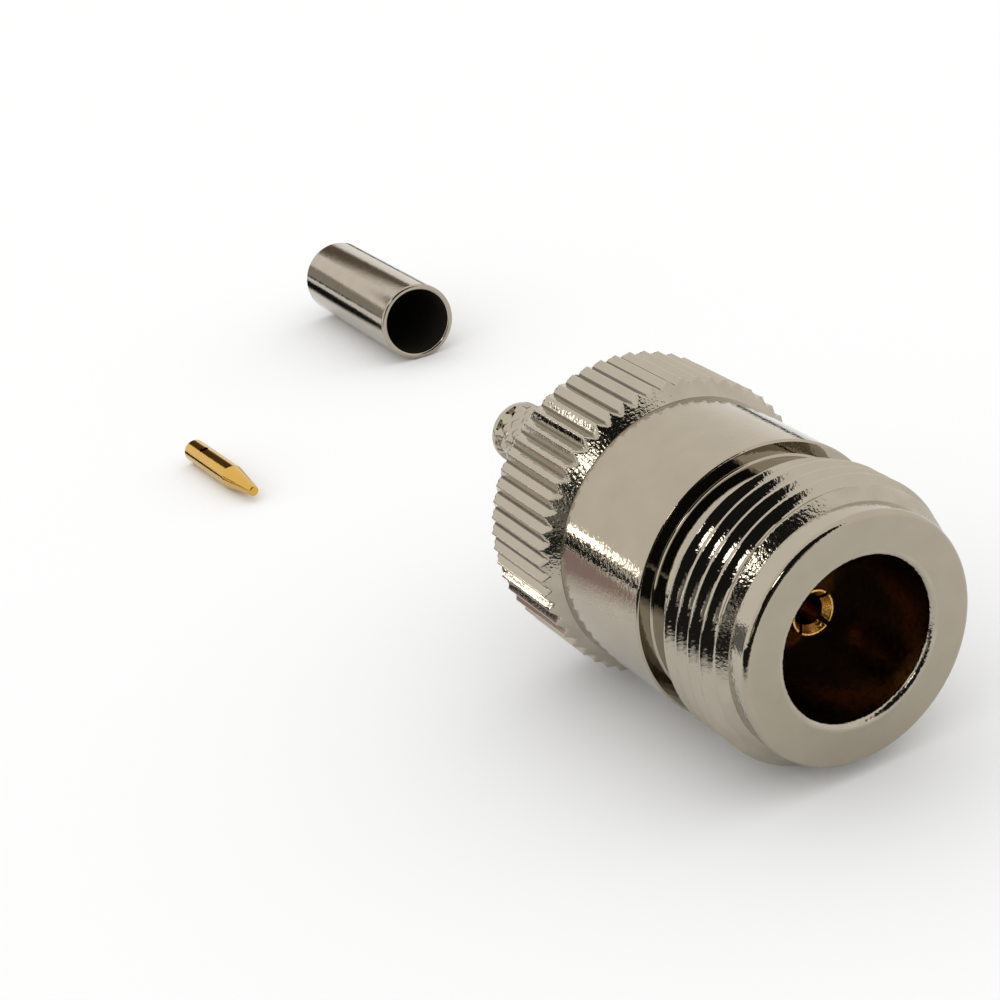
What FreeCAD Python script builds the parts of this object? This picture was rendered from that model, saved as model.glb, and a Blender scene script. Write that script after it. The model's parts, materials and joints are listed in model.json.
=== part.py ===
import FreeCAD, Part
import math
import os

# Cable jack of the N type with its loose crimp parts: the threaded jack lies on its side, and the
# centre pin and the crimp ferrule lie behind it, each in the order in which a cable takes them.
# Sizes are in millimetres. Distances along a piece run back from its front end, which faces +X.

# Front shell, outside, from the front face back
nose_d = 13.8
nose_length = 1.435
nose_rounding = 0.35
thread_major_d = 15.76
thread_pitch = 25.4 / 24
thread_depth = 0.65
thread_crest_flat = 0.2
thread_flank_angle = 30.0
thread_length = 4.0
thread_last_land = 0.86
relief_d = 14.0
relief_width = 1.8
relief_fillet = 0.2
barrel_d = 15.8
barrel_length = 7.74
barrel_edge_rounding = 0.12

# Front shell, inside
mating_bore_d = 8.9
mating_bore_depth = 9.1
mouth_rounding = 0.4
web_thickness = 1.4
web_hole_d = 7.0
flange_seat_d = 9.2
flange_seat_length = 2.5
spigot_d = 12.8

# Rear body: spigot, knurled ring and boss
ring_d = 17.5
ring_length = 5.73
ring_edge = 0.25
knurl_count = 57
knurl_depth = 0.36
knurl_flank_angle = 51.0
boss_d = 9.0
boss_length = 2.0
boss_rounding = 0.3
rear_bore_d = 8.0
ring_wall = 1.66

# Crimp stem, pressed into the boss
stem_d = 3.9
stem_bore_d = 3.0
stem_length = 10.4
stem_end_rounding = 0.2
stem_foot_fillet = 0.4
shank_d = 5.2

# Socket contact between the two insulators
contact_d = 2.6
contact_setback = 3.9
socket_bore_d = 1.6
socket_bore_depth = 5.6
socket_mouth_d = 2.34
socket_slot_width = 0.25
socket_slot_length = 4.6
socket_slot_turn = 48.0
collar_d = 3.8
collar_length = 1.0
pin_socket_d = 1.9
pin_socket_depth = 5.4
pin_slot_length = 4.4
contact_end_gap = 0.9

# Loose centre pin
pin_d = 1.8
pin_length = 12.0
pin_cone_length = 4.0
pin_tip_d = 0.74
pin_tip_rounding = 0.15
pin_rear_rounding = 0.1
wire_bore_d = 1.0
wire_bore_depth = 6.0
wire_bore_mouth = 0.12
side_hole_d = 0.7
side_hole_from_rear = 2.65
side_hole_turn = 8.0

# Loose crimp ferrule
ferrule_d = 6.4
ferrule_bore_d = 5.45
ferrule_length = 19.0
ferrule_rim_rounding = 0.2

# Clearances
spigot_end_gap = 0.1
knurl_overrun = 0.5

# Where the loose pieces lie, measured from the point below the centre of the front face
pin_back = 61.9
pin_aside = -9.15
pin_turn = 0.6
ferrule_back = 80.4
ferrule_aside = 14.0
ferrule_turn = -3.6

nose_r = nose_d / 2
crest_r = thread_major_d / 2
relief_r = relief_d / 2
barrel_r = barrel_d / 2
ring_r = ring_d / 2
spigot_r = spigot_d / 2

# Stations along the jack, counted back from the front face
thread_front = nose_length + crest_r - nose_r
thread_rear = thread_front + thread_length
barrel_front = thread_rear + relief_width
seam = barrel_front + barrel_length
web_rear = mating_bore_depth + web_thickness
flange_rear = web_rear + flange_seat_length + spigot_end_gap
ring_front = seam + ring_r - barrel_r
ring_rear = ring_front + ring_length
rear_bore_end = ring_rear - ring_wall
boss_rear = ring_rear + boss_length
stem_rear = boss_rear + stem_length
collar_rear = flange_rear + collar_length
contact_rear = rear_bore_end - contact_end_gap


def rounded_wire(corners):
    """A closed wire in the XZ plane through (back, radius, rounding) corners."""
    points = [FreeCAD.Vector(-corner[0], 0, corner[1]) for corner in corners]
    roundings = [corner[2] if len(corner) > 2 else 0 for corner in corners]
    count = len(points)
    starts, ends, edges = [], [], []
    for i in range(count):
        here = points[i]
        if roundings[i] == 0:
            starts.append(here)
            ends.append(here)
            continue
        before = (points[i - 1] - here).normalize()
        after = (points[(i + 1) % count] - here).normalize()
        half_angle = before.getAngle(after) / 2
        reach = roundings[i] / math.tan(half_angle)
        middle = (before + after).normalize()
        middle = here + middle * (roundings[i] / math.sin(half_angle) - roundings[i])
        starts.append(here + before * reach)
        ends.append(here + after * reach)
        edges.append(Part.Arc(starts[i], middle, ends[i]).toShape())
    for i in range(count):
        following = (i + 1) % count
        if ends[i].distanceToPoint(starts[following]) > 1e-6:
            edges.append(Part.makeLine(ends[i], starts[following]))
    return Part.Wire(Part.__sortEdges__(edges))


def turned(corners):
    """A solid of revolution about the X axis."""
    face = Part.Face(rounded_wire(corners))
    return face.revolve(FreeCAD.Vector(0, 0, 0), FreeCAD.Vector(1, 0, 0), 360)


def across_slot(width, reach, front, rear, turn):
    """A slab through the axis that cuts two opposite slots from front to rear."""
    slab = Part.makeBox(rear - front, width, 2 * reach, FreeCAD.Vector(-rear, -width / 2, -reach))
    slab.rotate(FreeCAD.Vector(0, 0, 0), FreeCAD.Vector(1, 0, 0), -turn)
    return slab


def thread_grooves():
    """Corners of the V grooves that stand for the thread, front to rear."""
    opening = thread_pitch - thread_crest_flat
    slope = thread_depth * math.tan(math.radians(thread_flank_angle))
    root_r = crest_r - thread_depth
    room = thread_length - thread_last_land + thread_crest_flat
    count = int(room / thread_pitch)
    last_groove_rear = thread_rear - thread_last_land
    corners = []
    for i in reversed(range(count)):
        rear = last_groove_rear - i * thread_pitch
        front = rear - opening
        corners += [(front, crest_r), (front + slope, root_r), (rear - slope, root_r), (rear, crest_r)]
    return corners


def front_shell():
    """Turned nose, thread, relief and barrel with the mating bore."""
    outside = [(0, nose_r, nose_rounding), (nose_length, nose_r), (thread_front, crest_r)]
    outside += thread_grooves()
    outside += [
        (thread_rear, crest_r),
        (thread_rear, relief_r),
        (barrel_front, relief_r, relief_fillet),
        (barrel_front, barrel_r, barrel_edge_rounding),
        (seam, barrel_r),
    ]
    seat_rear = web_rear + flange_seat_length
    inside = [
        (seam, spigot_r),
        (seat_rear, spigot_r),
        (seat_rear, flange_seat_d / 2),
        (web_rear, flange_seat_d / 2),
        (web_rear, web_hole_d / 2),
        (mating_bore_depth, web_hole_d / 2),
        (mating_bore_depth, mating_bore_d / 2),
        (0, mating_bore_d / 2, mouth_rounding),
    ]
    return turned(outside + inside)


def knurl_groove(number):
    """One straight V groove along the ring."""
    bottom = ring_r - knurl_depth
    top = ring_r + knurl_overrun
    half_width = (top - bottom) * math.tan(math.radians(knurl_flank_angle))
    corners = [
        FreeCAD.Vector(0, 0, bottom),
        FreeCAD.Vector(0, half_width, top),
        FreeCAD.Vector(0, -half_width, top),
    ]
    face = Part.Face(Part.makePolygon(corners + corners[:1]))
    groove = face.extrude(FreeCAD.Vector(seam - ring_rear - knurl_overrun, 0, 0))
    groove.translate(FreeCAD.Vector(-seam, 0, 0))
    turn = number * 360 / knurl_count + 180 + 180 / knurl_count
    groove.rotate(FreeCAD.Vector(0, 0, 0), FreeCAD.Vector(1, 0, 0), turn)
    return groove


def rear_body():
    """Spigot, knurled ring and boss in one turned piece, open for the stem behind."""
    body = turned([
        (flange_rear, rear_bore_d / 2),
        (flange_rear, spigot_r),
        (seam, spigot_r),
        (seam, barrel_r),
        (ring_front, ring_r),
        (ring_rear - ring_edge, ring_r),
        (ring_rear, ring_r - ring_edge),
        (ring_rear, boss_d / 2),
        (boss_rear, boss_d / 2, boss_rounding),
        (boss_rear, shank_d / 2),
        (rear_bore_end, shank_d / 2),
        (rear_bore_end, rear_bore_d / 2),
    ])
    return body.cut([knurl_groove(number) for number in range(knurl_count)])


def crimp_stem():
    """Hollow stem for the cable braid, with the shank that is pressed into the boss."""
    return turned([
        (rear_bore_end, stem_bore_d / 2),
        (rear_bore_end, shank_d / 2),
        (boss_rear, shank_d / 2),
        (boss_rear, stem_d / 2, stem_foot_fillet),
        (stem_rear, stem_d / 2, stem_end_rounding),
        (stem_rear, stem_bore_d / 2, stem_end_rounding),
    ])


def front_insulator():
    """Flanged disc in the web of the shell, clamped by the spigot."""
    return turned([
        (mating_bore_depth, contact_d / 2),
        (mating_bore_depth, web_hole_d / 2),
        (web_rear, web_hole_d / 2),
        (web_rear, flange_seat_d / 2),
        (flange_rear, flange_seat_d / 2),
        (flange_rear, contact_d / 2),
    ])


def rear_insulator():
    """Bush in the rear body, counterbored for the collar of the contact."""
    return turned([
        (flange_rear, collar_d / 2),
        (flange_rear, rear_bore_d / 2),
        (rear_bore_end, rear_bore_d / 2),
        (rear_bore_end, contact_d / 2),
        (collar_rear, contact_d / 2),
        (collar_rear, collar_d / 2),
    ])


def socket_contact():
    """Slotted socket in front, collar, and a slotted socket for the centre pin behind."""
    mouth_depth = (socket_mouth_d - socket_bore_d) / 2
    contact = turned([
        (contact_setback, socket_mouth_d / 2),
        (contact_setback, contact_d / 2),
        (flange_rear, contact_d / 2),
        (flange_rear, collar_d / 2),
        (collar_rear, collar_d / 2),
        (collar_rear, contact_d / 2),
        (contact_rear, contact_d / 2),
        (contact_rear, pin_socket_d / 2),
        (contact_rear - pin_socket_depth, pin_socket_d / 2),
        (contact_rear - pin_socket_depth, 0),
        (contact_setback + socket_bore_depth, 0),
        (contact_setback + socket_bore_depth, socket_bore_d / 2),
        (contact_setback + mouth_depth, socket_bore_d / 2),
    ])
    front = contact_setback
    rear = contact_setback + socket_slot_length
    slots = [across_slot(socket_slot_width, contact_d, front, rear, socket_slot_turn + turn) for turn in (0, 90)]
    front = contact_rear - pin_slot_length
    slots.append(across_slot(socket_slot_width, contact_d, front, contact_rear, socket_slot_turn))
    return contact.cut(slots)


def centre_pin():
    """Solder pin with a cone in front, a wire bore behind and a side hole."""
    pin = turned([
        (0, 0),
        (0, pin_tip_d / 2, pin_tip_rounding),
        (pin_cone_length, pin_d / 2),
        (pin_length, pin_d / 2, pin_rear_rounding),
        (pin_length, wire_bore_d / 2 + wire_bore_mouth),
        (pin_length - wire_bore_mouth, wire_bore_d / 2),
        (pin_length - wire_bore_depth, wire_bore_d / 2),
        (pin_length - wire_bore_depth, 0),
    ])
    hole_back = pin_length - side_hole_from_rear
    hole = Part.makeCylinder(side_hole_d / 2, pin_d, FreeCAD.Vector(-hole_back, 0, 0), FreeCAD.Vector(0, 0, 1))
    hole.rotate(FreeCAD.Vector(0, 0, 0), FreeCAD.Vector(1, 0, 0), side_hole_turn)
    return pin.cut(hole)


def crimp_ferrule():
    """Plain tube with rounded rims."""
    return turned([
        (0, ferrule_bore_d / 2, ferrule_rim_rounding),
        (0, ferrule_d / 2, ferrule_rim_rounding),
        (ferrule_length, ferrule_d / 2, ferrule_rim_rounding),
        (ferrule_length, ferrule_bore_d / 2, ferrule_rim_rounding),
    ])


def lying(aside, back, turn, height):
    """Placement of a loose piece that lies level on the ground."""
    place = FreeCAD.Vector(-back, aside, height)
    return FreeCAD.Placement(place, FreeCAD.Rotation(FreeCAD.Vector(0, 0, 1), turn))


# The jack rests on the front edge of its ring and on its first thread crest, nose down.
nose_dip = math.atan2(ring_r - crest_r, ring_front - thread_front)
axis_height = ring_r * math.cos(nose_dip) - ring_front * math.sin(nose_dip)
jack_rotation = FreeCAD.Rotation(FreeCAD.Vector(0, 1, 0), math.degrees(nose_dip))
jack_place = FreeCAD.Placement(FreeCAD.Vector(0, 0, axis_height), jack_rotation)
pin_place = lying(pin_aside, pin_back, pin_turn, pin_d / 2)
ferrule_place = lying(ferrule_aside, ferrule_back, ferrule_turn, ferrule_d / 2)

nodes = {
    "front_shell": (front_shell(), jack_place),
    "rear_body": (rear_body(), jack_place),
    "crimp_stem": (crimp_stem(), jack_place),
    "front_insulator": (front_insulator(), jack_place),
    "rear_insulator": (rear_insulator(), jack_place),
    "socket_contact": (socket_contact(), jack_place),
    "centre_pin": (centre_pin(), pin_place),
    "crimp_ferrule": (crimp_ferrule(), ferrule_place),
}

placed = {}
for name, (shape, place) in nodes.items():
    shape.transformShape(place.toMatrix())
    placed[name] = shape

# The origin lies on the ground below the middle of the whole set.
box = Part.makeCompound(list(placed.values())).optimalBoundingBox()
middle = FreeCAD.Vector(-(box.XMin + box.XMax) / 2, -(box.YMin + box.YMax) / 2, 0)

os.makedirs("parts", exist_ok=True)
for name, shape in placed.items():
    shape.translate(middle)
    shape.exportStep("parts/" + name + ".step")
    print(name, shape.isValid(), len(shape.Solids), round(shape.Volume, 2))
print("middle", middle, "height", axis_height, "dip", math.degrees(nose_dip))
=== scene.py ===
import json
import math

import bmesh
import bpy
from mathutils import Matrix, Vector


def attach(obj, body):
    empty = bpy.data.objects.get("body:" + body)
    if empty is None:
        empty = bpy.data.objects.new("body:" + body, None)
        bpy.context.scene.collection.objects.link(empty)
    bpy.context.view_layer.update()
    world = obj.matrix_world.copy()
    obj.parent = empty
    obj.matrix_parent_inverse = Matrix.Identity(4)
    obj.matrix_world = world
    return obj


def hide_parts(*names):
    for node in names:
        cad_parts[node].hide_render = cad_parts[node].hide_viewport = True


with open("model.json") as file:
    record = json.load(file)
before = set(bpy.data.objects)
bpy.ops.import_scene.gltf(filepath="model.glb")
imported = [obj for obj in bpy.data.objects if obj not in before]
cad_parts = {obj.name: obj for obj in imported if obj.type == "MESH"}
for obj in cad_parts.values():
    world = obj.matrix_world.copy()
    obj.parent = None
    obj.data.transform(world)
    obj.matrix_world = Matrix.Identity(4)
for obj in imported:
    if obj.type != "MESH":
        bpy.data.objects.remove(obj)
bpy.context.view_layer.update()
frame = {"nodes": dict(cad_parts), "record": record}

# Front shell: the turned and nickel-plated brass body of the jack, with a flat-faced nose, the rolled
# coupling thread, a relief groove and a smooth barrel. Its mating bore is left darker inside.
mm = 0.001
nose_r = 6.9
nose_length = 1.435
nose_rounding = 0.35
crest_r = 7.88
thread_root_r = 7.373
thread_pitch = 25.4 / 24
thread_flank_angle = 30.0
thread_length = 3.385
thread_front = nose_length + crest_r - nose_r
thread_rear = thread_front + thread_length
thread_edge_break = 0.06
groove_back = 5.28
groove_angle = 131.6
groove_half_width = 0.44
root_half_width = 0.067
crest_rounding = 0.07
relief_r = 7.0
relief_width = 2.415
relief_fillet = 0.15
barrel_r = 7.9
barrel_length = 7.74
barrel_front = thread_rear + relief_width
barrel_front_rounding = 0.12
barrel_rear_rounding = 0.06
seam = barrel_front + barrel_length
bore_r = 4.45
bore_depth = 9.1
mouth_rounding = 0.4
web_hole_r = 3.5
web_thickness = 1.4
web_rear = bore_depth + web_thickness
flange_seat_r = 4.6
flange_seat_length = 2.5
seat_rear = web_rear + flange_seat_length
spigot_r = 6.4
thread_mount_back = 4.4
around_shell = 360
rows_per_pitch = 24
touching = 1e-4
wall_margin = 0.02
step_margin = 0.01

mounts = {mount["name"]: mount for mount in frame["record"]["mounts"]}
jack_axis = Vector(mounts["coupling_thread"]["axis"]).normalized()
face_centre = Vector(mounts["coupling_thread"]["pos_m"]) + jack_axis * thread_mount_back * mm


def placed_along(front, axis):
    """The matrix from a piece's own millimetres, front at zero and facing +X, to its place."""
    turn = Vector((1, 0, 0)).rotation_difference(axis).to_matrix().to_4x4()
    return Matrix.Translation(front) @ turn @ Matrix.Scale(mm, 4)


jack_place = placed_along(face_centre, jack_axis)


def spun(work, outline, steps):
    """Spin a closed outline of (back, radius) corners about the X axis, which it may not touch."""
    corners = [work.verts.new((-back, radius, 0)) for back, radius in outline]
    sides = [work.edges.new(pair) for pair in zip(corners, corners[1:] + corners[:1])]
    bmesh.ops.spin(work, geom=corners + sides, cent=(0, 0, 0), axis=(1, 0, 0),
                   angle=2 * math.pi, steps=steps, use_merge=True)


def spun_place(point):
    """How far a point lies behind the front of its piece, its radius and its angle about the X axis."""
    return -point.x, math.hypot(point.y, point.z), math.atan2(point.z, point.y)


def spun_point(back, radius, angle):
    """The point at a place that spun_place gives."""
    return -back, radius * math.cos(angle), radius * math.sin(angle)


def round_rims(work, rims, segments):
    """Round the rings of edges that lie at each (back, radius, size)."""
    for rim_back, rim_radius, size in rims:
        on_rim = set()
        for point in work.verts:
            back, radius = spun_place(point.co)[:2]
            if abs(back - rim_back) < touching and abs(radius - rim_radius) < touching:
                on_rim.add(point)
        rim = [edge for edge in work.edges if on_rim.issuperset(edge.verts)]
        bmesh.ops.bevel(work, geom=rim, offset=size, offset_type="OFFSET", segments=segments,
                        profile=0.5, affect="EDGES", clamp_overlap=True, material=-1)


def made_object(work, name):
    """Turn a mesh at work into an object of the scene."""
    mesh = bpy.data.meshes.new(name)
    work.to_mesh(mesh)
    work.free()
    made = bpy.data.objects.new(name, mesh)
    bpy.context.scene.collection.objects.link(made)
    return made


def keep_flats_flat(mesh, sharp_fold=38, least_fold=2, wide_share=4):
    """Mark an edge sharp at a clear fold, and where a wide flat meets the narrow faces of a rounding."""
    work = bmesh.new()
    work.from_mesh(mesh)
    for edge in work.edges:
        areas = [face.calc_area() for face in edge.link_faces]
        fold = math.degrees(edge.calc_face_angle(0))
        edge.smooth = fold < sharp_fold and (fold < least_fold or max(areas) < wide_share * min(areas))
    work.to_mesh(mesh)
    work.free()


def finished_piece(work, name, place, finishes, node, finish_of=None, blades=()):
    """Close the mesh, place it, cut the blades out, keep its flats flat and let it stand for its node."""
    bmesh.ops.remove_doubles(work, verts=work.verts[:], dist=touching)
    bmesh.ops.dissolve_degenerate(work, edges=work.edges[:], dist=touching / 10)
    bmesh.ops.recalc_face_normals(work, faces=work.faces[:])
    for face in work.faces:
        face.smooth = True
        if finish_of:
            back, radius = spun_place(face.calc_center_median())[:2]
            face.material_index = finishes.index(finish_of(back, radius))
    work.transform(place)
    piece = made_object(work, name)
    bpy.context.view_layer.objects.active = piece
    for blade in blades:
        cut = piece.modifiers.new("cut", "BOOLEAN")
        cut.solver = "EXACT"
        cut.object = blade
        bpy.ops.object.modifier_apply(modifier=cut.name)
        bpy.data.meshes.remove(blade.data)
    for finish in finishes:
        piece.data.materials.append(finish)
    keep_flats_flat(piece.data)
    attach(piece, "root")
    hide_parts(node)


def mottled(name, dark, pale, scale, detail):
    """A new material whose colour drifts between a dark and a pale shade."""
    finish = bpy.data.materials.new(name)
    finish.use_nodes = True
    nodes = finish.node_tree.nodes
    link = finish.node_tree.links.new
    place = nodes.new("ShaderNodeTexCoord")
    cloud = nodes.new("ShaderNodeTexNoise")
    cloud.inputs["Scale"].default_value = scale
    cloud.inputs["Detail"].default_value = detail
    link(place.outputs["Object"], cloud.inputs["Vector"])
    shade = nodes.new("ShaderNodeMix")
    shade.data_type = "RGBA"
    amount, first_colour, second_colour = (shade.inputs[number] for number in (0, 6, 7))
    mixed_colour = shade.outputs[2]
    first_colour.default_value = (*dark, 1)
    second_colour.default_value = (*pale, 1)
    link(cloud.outputs["Fac"], amount)
    link(mixed_colour, nodes["Principled BSDF"].inputs["Base Color"])
    return finish


def plated(name, colour, speck, grain, bump, roughness, spread):
    """A plated metal, mottled and with the grain of orange peel. Grain and bump are in millimetres."""
    dark = [channel * (1 - speck) for channel in colour]
    pale = [channel * (1 + speck) for channel in colour]
    cloud_width = 8 * grain
    finish = mottled(name, dark, pale, scale=1 / (cloud_width * mm), detail=5.0)
    nodes = finish.node_tree.nodes
    link = finish.node_tree.links.new
    shader = nodes["Principled BSDF"]
    shader.inputs["Metallic"].default_value = 1.0
    place = nodes.new("ShaderNodeTexCoord")
    peel = nodes.new("ShaderNodeTexNoise")
    peel.inputs["Scale"].default_value = 1 / (grain * mm)
    peel.inputs["Detail"].default_value = 1.5
    link(place.outputs["Object"], peel.inputs["Vector"])
    gloss = nodes.new("ShaderNodeMapRange")
    gloss.inputs["From Min"].default_value = 0.3
    gloss.inputs["From Max"].default_value = 0.7
    gloss.inputs["To Min"].default_value = roughness - spread
    gloss.inputs["To Max"].default_value = roughness + spread
    link(peel.outputs["Fac"], gloss.inputs["Value"])
    link(gloss.outputs["Result"], shader.inputs["Roughness"])
    relief = nodes.new("ShaderNodeBump")
    relief.inputs["Strength"].default_value = 1.0
    relief.inputs["Distance"].default_value = bump * mm
    link(peel.outputs["Fac"], relief.inputs["Height"])
    link(relief.outputs["Normal"], shader.inputs["Normal"])
    return finish


satin_nickel = plated("satin_nickel", (0.39, 0.345, 0.27),
                      speck=0.09, grain=0.22, bump=0.009, roughness=0.07, spread=0.02)
bright_nickel = plated("bright_nickel", (0.42, 0.38, 0.31),
                       speck=0.06, grain=0.20, bump=0.011, roughness=0.06, spread=0.02)
rough_nickel = plated("rough_nickel", (0.41, 0.37, 0.30),
                      speck=0.20, grain=0.17, bump=0.024, roughness=0.11, spread=0.04)
smooth_nickel = plated("smooth_nickel", (0.40, 0.36, 0.29),
                       speck=0.06, grain=0.30, bump=0.003, roughness=0.05, spread=0.01)
dark_bore = plated("dark_bore", (0.37, 0.25, 0.15),
                   speck=0.1, grain=0.30, bump=0.010, roughness=0.2, spread=0.05)


def threaded_radius(back, angle):
    """Radius at a place of the chamfer and the thread: a helical groove that opens in two steps."""
    plain = min(nose_r + back - nose_length, crest_r, crest_r - thread_edge_break + thread_rear - back)
    turns = (back - groove_back) / thread_pitch + (angle - groove_angle) / 360
    off_centre = abs(turns - round(turns)) * thread_pitch
    upper_flank = crest_r - (groove_half_width - off_centre) / math.tan(math.radians(thread_flank_angle))
    groove = max(thread_root_r, thread_root_r + off_centre - root_half_width, upper_flank)
    return (groove + plain - math.hypot(groove - plain, crest_rounding)) / 2


shell = bmesh.new()
row_count = math.ceil((thread_rear - nose_length) / thread_pitch * rows_per_pitch)
row_height = (thread_rear - nose_length) / row_count
thread_rows = [(nose_length + i * row_height, crest_r) for i in range(1, row_count + 1)]
spun(shell, [
    (0, bore_r),
    (0, nose_r),
    (nose_length, nose_r),
    *thread_rows,
    (thread_rear, relief_r),
    (barrel_front, relief_r),
    (barrel_front, barrel_r),
    (seam, barrel_r),
    (seam, spigot_r),
    (seat_rear, spigot_r),
    (seat_rear, flange_seat_r),
    (web_rear, flange_seat_r),
    (web_rear, web_hole_r),
    (bore_depth, web_hole_r),
    (bore_depth, bore_r),
], around_shell)
for point in shell.verts:
    back, radius, angle = spun_place(point.co)
    if back > nose_length + touching and abs(radius - crest_r) < touching:
        point.co = spun_point(back, threaded_radius(back, math.degrees(angle)), angle)
round_rims(shell, [
    (barrel_front, relief_r, relief_fillet),
    (barrel_front, barrel_r, barrel_front_rounding),
    (seam, barrel_r, barrel_rear_rounding),
], segments=3)
round_rims(shell, [(0, bore_r, mouth_rounding), (0, nose_r, nose_rounding)], segments=8)


def shell_finish(back, radius, rounding_margin=0.05, nose_edge=0.3, crest_margin=0.1):
    """The metal at a place of the shell, from its bore wall and mouth to its groove and barrel."""
    if radius < bore_r + wall_margin and back > mouth_rounding - rounding_margin:
        return dark_bore
    if radius < bore_r + mouth_rounding and back < mouth_rounding:
        return rough_nickel
    if thread_rear - step_margin < back < barrel_front + step_margin and radius < crest_r - crest_margin:
        return smooth_nickel
    if nose_length < back < thread_front and radius > nose_r + back - nose_length - rounding_margin:
        return rough_nickel
    return bright_nickel if nose_edge < back < barrel_front + wall_margin else satin_nickel


finished_piece(shell, "threaded_shell", jack_place,
               [satin_nickel, bright_nickel, dark_bore, rough_nickel, smooth_nickel],
               "front_shell", shell_finish)

# Rear body: the knurled ring that is pressed into the shell and turned by hand, nickel-plated brass.
# Its straight knurl is rolled: wide V teeth with nearly sharp crests, rough narrow roots painted dark
# for the shade that falls in them, and a small burr at the front end of each tooth.
ring_r = 8.75
ring_length = 5.73
ring_front = seam + ring_r - barrel_r
ring_rear = ring_front + ring_length
ring_edge = 0.25
ring_wall = 1.66
boss_r = 4.5
boss_length = 2.0
boss_rear = ring_rear + boss_length
boss_rounding = 0.3
shank_r = 2.6
rear_bore_r = 4.0
rear_bore_end = ring_rear - ring_wall
spigot_end_gap = 0.1
flange_rear = seat_rear + spigot_end_gap
cone_steps = 10
crest_stations = (0.02, 0.05, 0.1, 0.4, 0.8, 1)
knurl_count = 57
knurl_reach = 0.9
first_tooth_angle = 270
tooth_crest = (0, 0)
tooth_flank = [
    (0.03, 0.003), (0.06, 0.018), (0.1, 0.048), (0.2, 0.13), (0.3, 0.212), (0.42, 0.31), (0.47, 0.342),
]
tooth_root = (0.5, 0.35)
other_flank = [(1 - share, depth) for share, depth in reversed(tooth_flank)]
tooth = [tooth_crest] + tooth_flank + [tooth_root] + other_flank
around_ring = knurl_count * len(tooth)
burr_height = 0.03
burr_length = 0.25

# Painted shade: the knurl roots get a dark nickel colour that stands for the shade between the teeth.
knurl_root_painted_shade = plated("knurl_root_painted_shade", (0.15, 0.128, 0.098),
                           speck=0.25, grain=0.20, bump=0.011, roughness=0.22, spread=0.05)

ring = bmesh.new()
cone_rows = [(seam + (ring_front - seam) * i / cone_steps, barrel_r + (ring_r - barrel_r) * i / cone_steps)
             for i in range(cone_steps + 1)]
crest_length = ring_rear - ring_edge - ring_front
crest_rows = [(ring_front + crest_length * station, ring_r) for station in crest_stations]
spun(ring, [
    (flange_rear, rear_bore_r),
    (flange_rear, spigot_r),
    (seam, spigot_r),
    *cone_rows,
    *crest_rows,
    (ring_rear, ring_r - ring_edge),
    (ring_rear, boss_r),
    (boss_rear, boss_r),
    (boss_rear, shank_r),
    (rear_bore_end, shank_r),
    (rear_bore_end, rear_bore_r),
], around_ring)
for point in ring.verts:
    back, radius, angle = spun_place(point.co)
    tooth_number, step = divmod(round(math.degrees(angle) / 360 * around_ring), len(tooth))
    share, depth = tooth[step]
    angle = math.radians((tooth_number + share) * 360 / knurl_count + first_tooth_angle)
    if back > seam - step_margin and radius > ring_r - knurl_reach:
        burr = burr_height * (1 - math.exp(-((back - ring_front) / burr_length) ** 2))
        radius = min(radius, ring_r - burr - depth)
    point.co = spun_point(back, radius, angle)
round_rims(ring, [(boss_rear, boss_r, boss_rounding)], segments=4)


def ring_finish(back, radius, root_top=0.33, root_floor=0.45):
    """The rough cone, the rough roots between the teeth with their painted shade, or bright metal."""
    if seam - step_margin < back < ring_front:
        return rough_nickel
    # Painted shade on the roots between the teeth.
    if ring_front < back < ring_rear and ring_r - root_floor < radius < ring_r - root_top:
        return knurl_root_painted_shade
    return bright_nickel


finished_piece(ring, "knurled_ring", jack_place, [bright_nickel, rough_nickel, knurl_root_painted_shade],
               "rear_body", ring_finish)

# Crimp stem: the hollow turned tube that the cable braid is crimped on. It is pressed into the boss
# of the ring, and a coarse diamond knurl is rolled on its outside so that the braid can't slip.
stem_r = 1.95
stem_bore_r = 1.5
stem_length = 10.4
stem_rear = boss_rear + stem_length
stem_end_rounding = 0.2
stem_bore_rounding = 0.15
stem_knurl_length = 9.4
stem_knurl_front = boss_rear + 0.6
stem_knurl_rear = stem_knurl_front + stem_knurl_length
stem_knurl_margin = 0.1
stem_knurl_depth = 0.24
stem_knurl_count = 10
stem_rows = 110
around_tube = 96

stem = bmesh.new()
knurl_rows = [(stem_knurl_front + stem_knurl_length * i / stem_rows, stem_r) for i in range(stem_rows + 1)]
spun(stem, [
    (rear_bore_end, stem_bore_r),
    (rear_bore_end, shank_r),
    (boss_rear, shank_r),
    (boss_rear, stem_r),
    *knurl_rows,
    (stem_rear, stem_r),
    (stem_rear, stem_bore_r),
], around_tube)
for point in stem.verts:
    back, radius, angle = spun_place(point.co)
    on_knurl = stem_knurl_front + stem_knurl_margin < back < stem_knurl_rear - stem_knurl_margin
    if on_knurl and radius > stem_r - step_margin:
        along = (back - boss_rear) / stem_r
        cuts = [(angle + way * along) * stem_knurl_count / (2 * math.pi) for way in (-1, 1)]
        groove = max(1 - 2 * abs(cut - round(cut)) for cut in cuts)
        point.co = spun_point(back, radius - stem_knurl_depth * groove, angle)
round_rims(stem, [
    (stem_rear, stem_r, stem_end_rounding),
    (stem_rear, stem_bore_r, stem_bore_rounding),
], segments=4)
finished_piece(stem, "knurled_stem", jack_place, [bright_nickel], "crimp_stem")

# Insulators: two turned plastic bushes that hold the contact in the middle of the shell.
# Only the face of the front one can be seen, deep in the mating bore.
bush_plastic = mottled("bush_plastic", (0.020, 0.012, 0.007), (0.045, 0.028, 0.015), scale=900, detail=2.0)
bush_plastic.node_tree.nodes["Principled BSDF"].inputs["Roughness"].default_value = 0.45
for name in ("front_insulator", "rear_insulator"):
    frame["nodes"][name].data.materials.clear()
    frame["nodes"][name].data.materials.append(bush_plastic)

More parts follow.
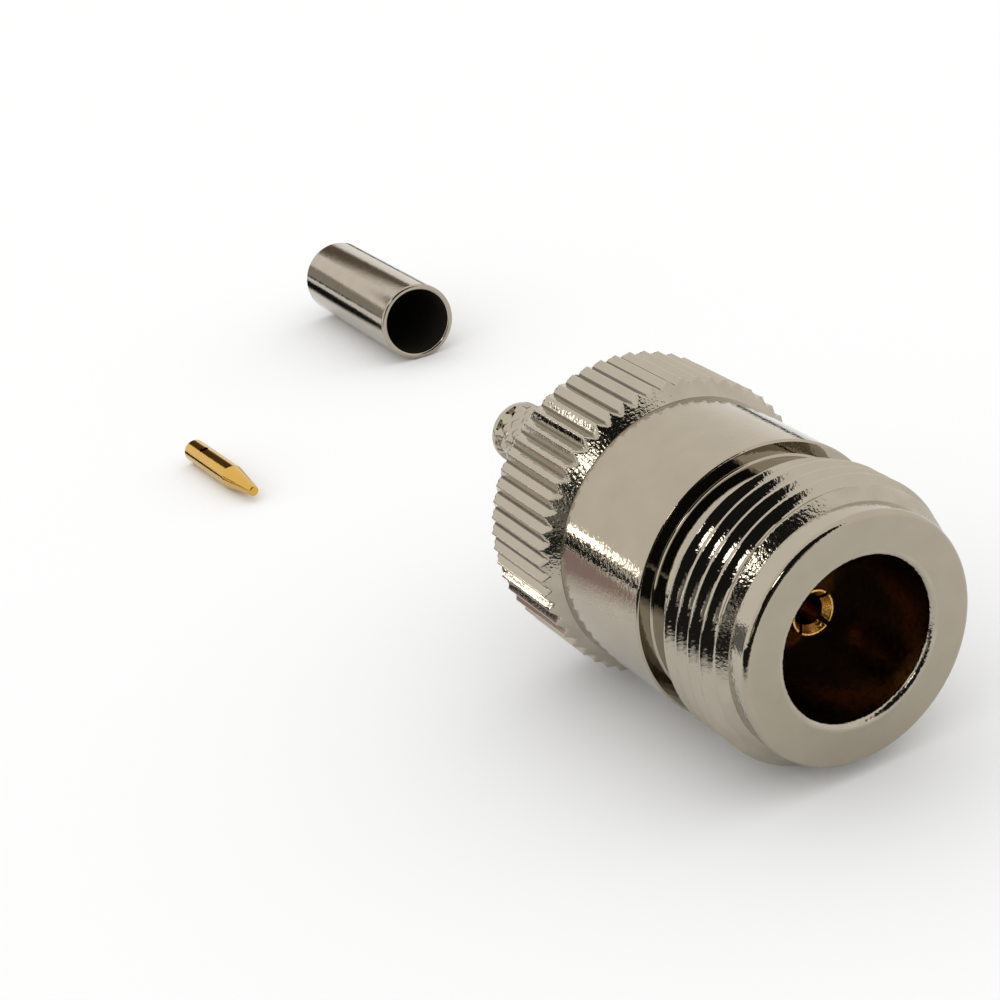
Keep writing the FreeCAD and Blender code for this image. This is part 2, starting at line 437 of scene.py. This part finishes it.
# Socket contact: turned and gold-plated, with four slots sawn in its front end so that it springs
# round the pin of a plug. A collar between the two insulators holds it.
contact_r = 1.3
contact_front = 3.9
contact_end_gap = 0.9
contact_rear = rear_bore_end - contact_end_gap
contact_edge_rounding = 0.05
socket_bore_r = 0.8
socket_bore_depth = 5.6
socket_bore_end = contact_front + socket_bore_depth
socket_mouth_r = 1.17
socket_mouth_rounding = 0.03
slot_width = 0.25
slot_length = 4.6
slot_turn = 48.0
blade_overrun = 1.0
blade_length = slot_length + blade_overrun
blade_height = 4.0
collar_r = 1.9
collar_length = 1.0
collar_rear = flange_rear + collar_length
pin_socket_r = 0.95
pin_socket_depth = 5.4
pin_socket_front = contact_rear - pin_socket_depth
hair_hole_r = 0.02

gold_plate = plated("gold_plate", (0.72, 0.44, 0.11),
                    speck=0.05, grain=0.10, bump=0.02, roughness=0.10, spread=0.04)


def saw_blade(turn):
    """A blade that saws both slots of one line across the contact, turned about its axis."""
    work = bmesh.new()
    bmesh.ops.create_cube(work, size=1)
    work.transform(Matrix.Diagonal((blade_length, slot_width, blade_height, 1)))
    work.transform(Matrix.Translation((blade_length / 2 - contact_front - slot_length, 0, 0)))
    work.transform(jack_place @ Matrix.Rotation(math.radians(turn), 4, "X"))
    return made_object(work, "blade")


contact = bmesh.new()
spun(contact, [
    (contact_front, socket_mouth_r),
    (contact_front, contact_r),
    (flange_rear, contact_r),
    (flange_rear, collar_r),
    (collar_rear, collar_r),
    (collar_rear, contact_r),
    (contact_rear, contact_r),
    (contact_rear, pin_socket_r),
    (pin_socket_front, pin_socket_r),
    (pin_socket_front, hair_hole_r),
    (socket_bore_end, hair_hole_r),
    (socket_bore_end, socket_bore_r),
    (contact_front + socket_mouth_r - socket_bore_r, socket_bore_r),
], around_tube)
round_rims(contact, [
    (contact_front, contact_r, contact_edge_rounding),
    (contact_front, socket_mouth_r, socket_mouth_rounding),
], segments=3)
finished_piece(contact, "gold_contact", jack_place, [gold_plate], "socket_contact",
               blades=[saw_blade(-slot_turn), saw_blade(90 - slot_turn)])

# Centre pin: the loose gold-plated pin that is soldered to the cable's wire and pushed into the back
# of the contact. It has a conical tip, a wire bore behind and a round side hole for the solder.
pin_r = 0.9
pin_length = 12.0
pin_edge_rounding = 0.1
tip_r = 0.37
tip_rounding = 0.12
cone_length = 4.0
wire_bore_r = 0.5
wire_bore_depth = 6.0
wire_bore_front = pin_length - wire_bore_depth
wire_bore_mouth = 0.12
side_hole_r = 0.35
side_hole_from_rear = 2.65
side_hole_turn = 8
drill_length = 2.0
around_drill = 48
pin_hair_hole_r = 0.01
wire_mount_back = 8.9
wire_axis = -Vector(mounts["wire_bore"]["axis"]).normalized()
pin_front = Vector(mounts["wire_bore"]["pos_m"]) + wire_axis * wire_mount_back * mm
pin_place = placed_along(pin_front, wire_axis)

rich_gold = plated("rich_gold", (0.62, 0.37, 0.07),
                   speck=0.08, grain=0.20, bump=0.008, roughness=0.07, spread=0.02)

pin = bmesh.new()
spun(pin, [
    (0, pin_hair_hole_r),
    (0, tip_r),
    (cone_length, pin_r),
    (pin_length, pin_r),
    (pin_length, wire_bore_r + wire_bore_mouth),
    (pin_length - wire_bore_mouth, wire_bore_r),
    (wire_bore_front, wire_bore_r),
    (wire_bore_front, pin_hair_hole_r),
], around_tube)
round_rims(pin, [
    (0, tip_r, tip_rounding),
    (cone_length, pin_r, pin_edge_rounding),
    (pin_length, pin_r, pin_edge_rounding),
], segments=4)
drill = bmesh.new()
bmesh.ops.create_cone(drill, cap_ends=True, segments=around_drill,
                      radius1=side_hole_r, radius2=side_hole_r, depth=drill_length)
drill.transform(Matrix.Translation((side_hole_from_rear - pin_length, 0, drill_length / 2)))
drill.transform(pin_place @ Matrix.Rotation(math.radians(side_hole_turn), 4, "X"))
finished_piece(pin, "gold_pin", pin_place, [rich_gold], "centre_pin",
               blades=[made_object(drill, "drill")])

# Crimp ferrule: the loose plated tube that is slid over the cable and crimped on the stem.
# It is cut from drawn tube, so its rims are rounded and its surface is smooth and bright.
ferrule_r = 3.2
ferrule_bore_r = 2.725
ferrule_length = 19.0
rim_rounding = 0.2
around_ferrule = 180
ferrule_axis = -Vector(mounts["ferrule_bore"]["axis"]).normalized()
ferrule_middle = Vector(mounts["ferrule_bore"]["pos_m"])
ferrule_front = ferrule_middle + ferrule_axis * ferrule_length / 2 * mm

drawn_nickel = plated("drawn_nickel", (0.40, 0.35, 0.28),
                      speck=0.10, grain=0.20, bump=0.008, roughness=0.07, spread=0.02)
# Painted shade: the inside of the tube is painted near black and without gloss, for the shade in it.
painted_shade_tube = plated("painted_shade_tube", (0.02, 0.018, 0.015),
                   speck=0.1, grain=0.20, bump=0.01, roughness=0.3, spread=0.05)
painted_shade_tube.node_tree.nodes["Principled BSDF"].inputs["Metallic"].default_value = 0.0
painted_shade_tube.node_tree.nodes["Principled BSDF"].inputs["Specular IOR Level"].default_value = 0.0

ferrule = bmesh.new()
ferrule_corners = [
    (0, ferrule_bore_r),
    (0, ferrule_r),
    (ferrule_length, ferrule_r),
    (ferrule_length, ferrule_bore_r),
]
spun(ferrule, ferrule_corners, around_ferrule)
round_rims(ferrule, [(back, radius, rim_rounding) for back, radius in ferrule_corners], segments=5)


def ferrule_finish(back, radius):
    """Painted shade inside, bright plated metal outside."""
    inside = radius < ferrule_bore_r + wall_margin and rim_rounding < back < ferrule_length - rim_rounding
    return painted_shade_tube if inside else drawn_nickel


finished_piece(ferrule, "plated_ferrule", placed_along(ferrule_front, ferrule_axis),
               [drawn_nickel, painted_shade_tube], "crimp_ferrule", ferrule_finish)

# Floor: a wide sheet of matt white paper that the pieces lie on. It keeps their soft shadows.
floor_half_width = 2.0
white_paper = bpy.data.materials.new("white_paper")
white_paper.use_nodes = True
paper_shader = white_paper.node_tree.nodes["Principled BSDF"]
paper_shader.inputs["Base Color"].default_value = (0.91, 0.93, 0.955, 1)
paper_shader.inputs["Roughness"].default_value = 1.0
paper_shader.inputs["Specular IOR Level"].default_value = 0.0
paper = bmesh.new()
bmesh.ops.create_grid(paper, x_segments=1, y_segments=1, size=floor_half_width)
floor = made_object(paper, "floor")
floor.data.materials.append(white_paper)

# Light: an even room in warm white lights everything. The metal also mirrors a set of oval cards that
# nothing else sees: they stand or lie round the pieces and give the plate its dark and bright bands.
room = bpy.data.worlds.new("room")
room.use_nodes = True
room.node_tree.nodes["Background"].inputs["Color"].default_value = (1.0, 0.98, 0.95, 1)
room.node_tree.nodes["Background"].inputs["Strength"].default_value = 1.1
bpy.context.scene.world = room


def facing(target, heading, height, reach):
    """The place of a card that faces a point from a heading and height in degrees, at a reach in metres."""
    turn = Matrix.Rotation(math.radians(heading), 4, "Z") @ Matrix.Rotation(math.radians(-height), 4, "Y")
    way = turn @ Vector((reach, 0, 0))
    return Matrix.Translation(target + way) @ turn @ Matrix.Rotation(math.radians(90), 4, "Y")


def lying(x, y, lift, heading=0):
    """The place of a card that lies just above the paper."""
    return Matrix.Translation((x, y, lift)) @ Matrix.Rotation(math.radians(heading), 4, "Z")


def card(name, stand, size, edge, glow, tint=(1, 1, 1)):
    """An oval card, seen only in the metal, that fades out at its edge. Its size is two half-widths."""
    look = bpy.data.materials.new(name)
    look.use_nodes = True
    nodes = look.node_tree.nodes
    link = look.node_tree.links.new
    nodes.clear()
    place = nodes.new("ShaderNodeTexCoord")
    centred = nodes.new("ShaderNodeMapping")
    centred.vector_type = "TEXTURE"
    centred.inputs["Location"].default_value = stand.to_translation()
    centred.inputs["Rotation"].default_value = stand.to_euler()
    centred.inputs["Scale"].default_value = (*size, 1)
    link(place.outputs["Object"], centred.inputs["Vector"])
    far = nodes.new("ShaderNodeVectorMath")
    far.operation = "LENGTH"
    link(centred.outputs["Vector"], far.inputs[0])
    fade = nodes.new("ShaderNodeMapRange")
    fade.inputs["From Min"].default_value = 1 - edge
    fade.inputs["From Max"].default_value = 1.0
    link(far.outputs["Value"], fade.inputs["Value"])
    shine = nodes.new("ShaderNodeEmission")
    shine.inputs["Color"].default_value = (*tint, 1)
    shine.inputs["Strength"].default_value = glow
    clear = nodes.new("ShaderNodeBsdfTransparent")
    both = nodes.new("ShaderNodeMixShader")
    link(fade.outputs["Result"], both.inputs[0])
    link(shine.outputs["Emission"], both.inputs[1])
    link(clear.outputs["BSDF"], both.inputs[2])
    out = nodes.new("ShaderNodeOutputMaterial")
    link(both.outputs["Shader"], out.inputs["Surface"])
    work = bmesh.new()
    bmesh.ops.create_grid(work, x_segments=1, y_segments=1, size=1)
    work.transform(stand @ Matrix.Diagonal((*size, 1, 1)))
    sheet = made_object(work, name)
    sheet.data.materials.append(look)
    for sort in ("camera", "diffuse", "transmission", "volume_scatter", "shadow"):
        setattr(sheet, "visible_" + sort, False)


# Behind the camera stands a wide dark card, with a small lamp and a grey card before it.
card("dark_card", facing(face_centre, -15, 29, 0.6), (0.5, 0.5), edge=0.12, glow=0.015)
card("small_lamp", facing(face_centre, -39, 37, 0.45), (0.06, 0.06), edge=0.4, glow=6.0, tint=(1, 0.97, 0.92))
card("side_grey", facing(face_centre, -60, 8, 0.3), (0.07, 0.075), edge=0.4, glow=0.22, tint=(1, 0.97, 0.9))

# Low beside the jack: the grey patch on its nose, the bright line along its barrel, and the bands below.
card("nose_grey", facing(face_centre, -132.5, -1.5, 0.06), (0.012, 0.006), edge=0.2, glow=0.2)
card("low_strip", facing(face_centre, -143.9, 3.3, 0.15), (0.0055, 0.0095),
     edge=0.4, glow=6.0, tint=(1, 0.96, 0.88))
card("low_dark", facing(face_centre, -147, -0.3, 0.2), (0.0065, 0.024), edge=0.2, glow=0.015)
card("low_table", lying(-0.074, -0.089, 0.0004, 38), (0.06, 0.02), edge=0.15, glow=0.015)
card("low_red", lying(-0.0064, -0.037, 0.0005, 38), (0.035, 0.013), edge=0.4, glow=0.46, tint=(1, 0.76, 0.76))

# Two wide dark cards lie on the paper, one before the jack and one far behind the loose pieces.
card("dark_table", lying(0.30, -0.30, 0.0002), (0.37, 0.37), edge=0.03, glow=0.02)
card("dark_side", lying(-0.592, 0.1, 0.0003), (0.5, 0.5), edge=0.02, glow=0.02)

# Behind the loose ferrule and the loose pin, for the bands along them.
ferrule_strip = lying(ferrule_middle.x - 0.022, ferrule_middle.y - 0.0076, 0.0004)
card("ferrule_strip", ferrule_strip, (0.027, 0.0036), edge=0.3, glow=0.01)
card("ferrule_grey", facing(ferrule_middle, -162, 4.5, 0.15), (0.02, 0.04),
     edge=0.2, glow=0.38, tint=(1, 0.95, 0.86))
card("ferrule_brown", facing(ferrule_middle, 168, 21, 0.15), (0.015, 0.04),
     edge=0.2, glow=0.15, tint=(1, 0.8, 0.6))
pin_middle = pin_front - wire_axis * pin_length / 2 * mm
pin_strip = lying(pin_middle.x - 0.008, pin_middle.y - 0.0035, 0.0004)
card("pin_strip", pin_strip, (0.012, 0.0019), edge=0.3, glow=0.02)
card("pin_brown", facing(pin_middle, 174, 26, 0.05), (0.0092, 0.015), edge=0.2, glow=0.08, tint=(1, 0.7, 0.4))

# Camera: a long lens close above the paper, rolled a little about its own axis. It is set by the
# distance of the nose face and by the place of that face's middle in the picture.
camera_dip = 22.443
camera_heading = 155.55
camera_roll = 10.0
face_depth = 105.96
focal_px = 2146.1
frame_px = 1000
face_px = (860.8, 642.1)
sensor_width = 36.0
dip, heading, roll = (math.radians(angle) for angle in (camera_dip, camera_heading, camera_roll))
forward = Vector((math.cos(dip) * math.cos(heading), math.cos(dip) * math.sin(heading), -math.sin(dip)))
level_right = forward.cross(Vector((0, 0, 1))).normalized()
right = Matrix.Rotation(roll, 3, forward) @ level_right
up = right.cross(forward)
across, below = ((place_px - frame_px / 2) / focal_px for place_px in face_px)
stand = face_centre - (forward + right * across - up * below) * face_depth * mm
lens = bpy.data.cameras.new("camera")
lens.sensor_width = sensor_width
lens.lens = sensor_width * focal_px / frame_px
lens.clip_start = 0.005
camera = bpy.data.objects.new("camera", lens)
camera.matrix_world = Matrix((
    (right.x, up.x, -forward.x, stand.x),
    (right.y, up.y, -forward.y, stand.y),
    (right.z, up.z, -forward.z, stand.z),
    (0, 0, 0, 1),
))
bpy.context.scene.collection.objects.link(camera)
bpy.context.scene.camera = camera
bpy.context.scene.view_settings.view_transform = "Standard"
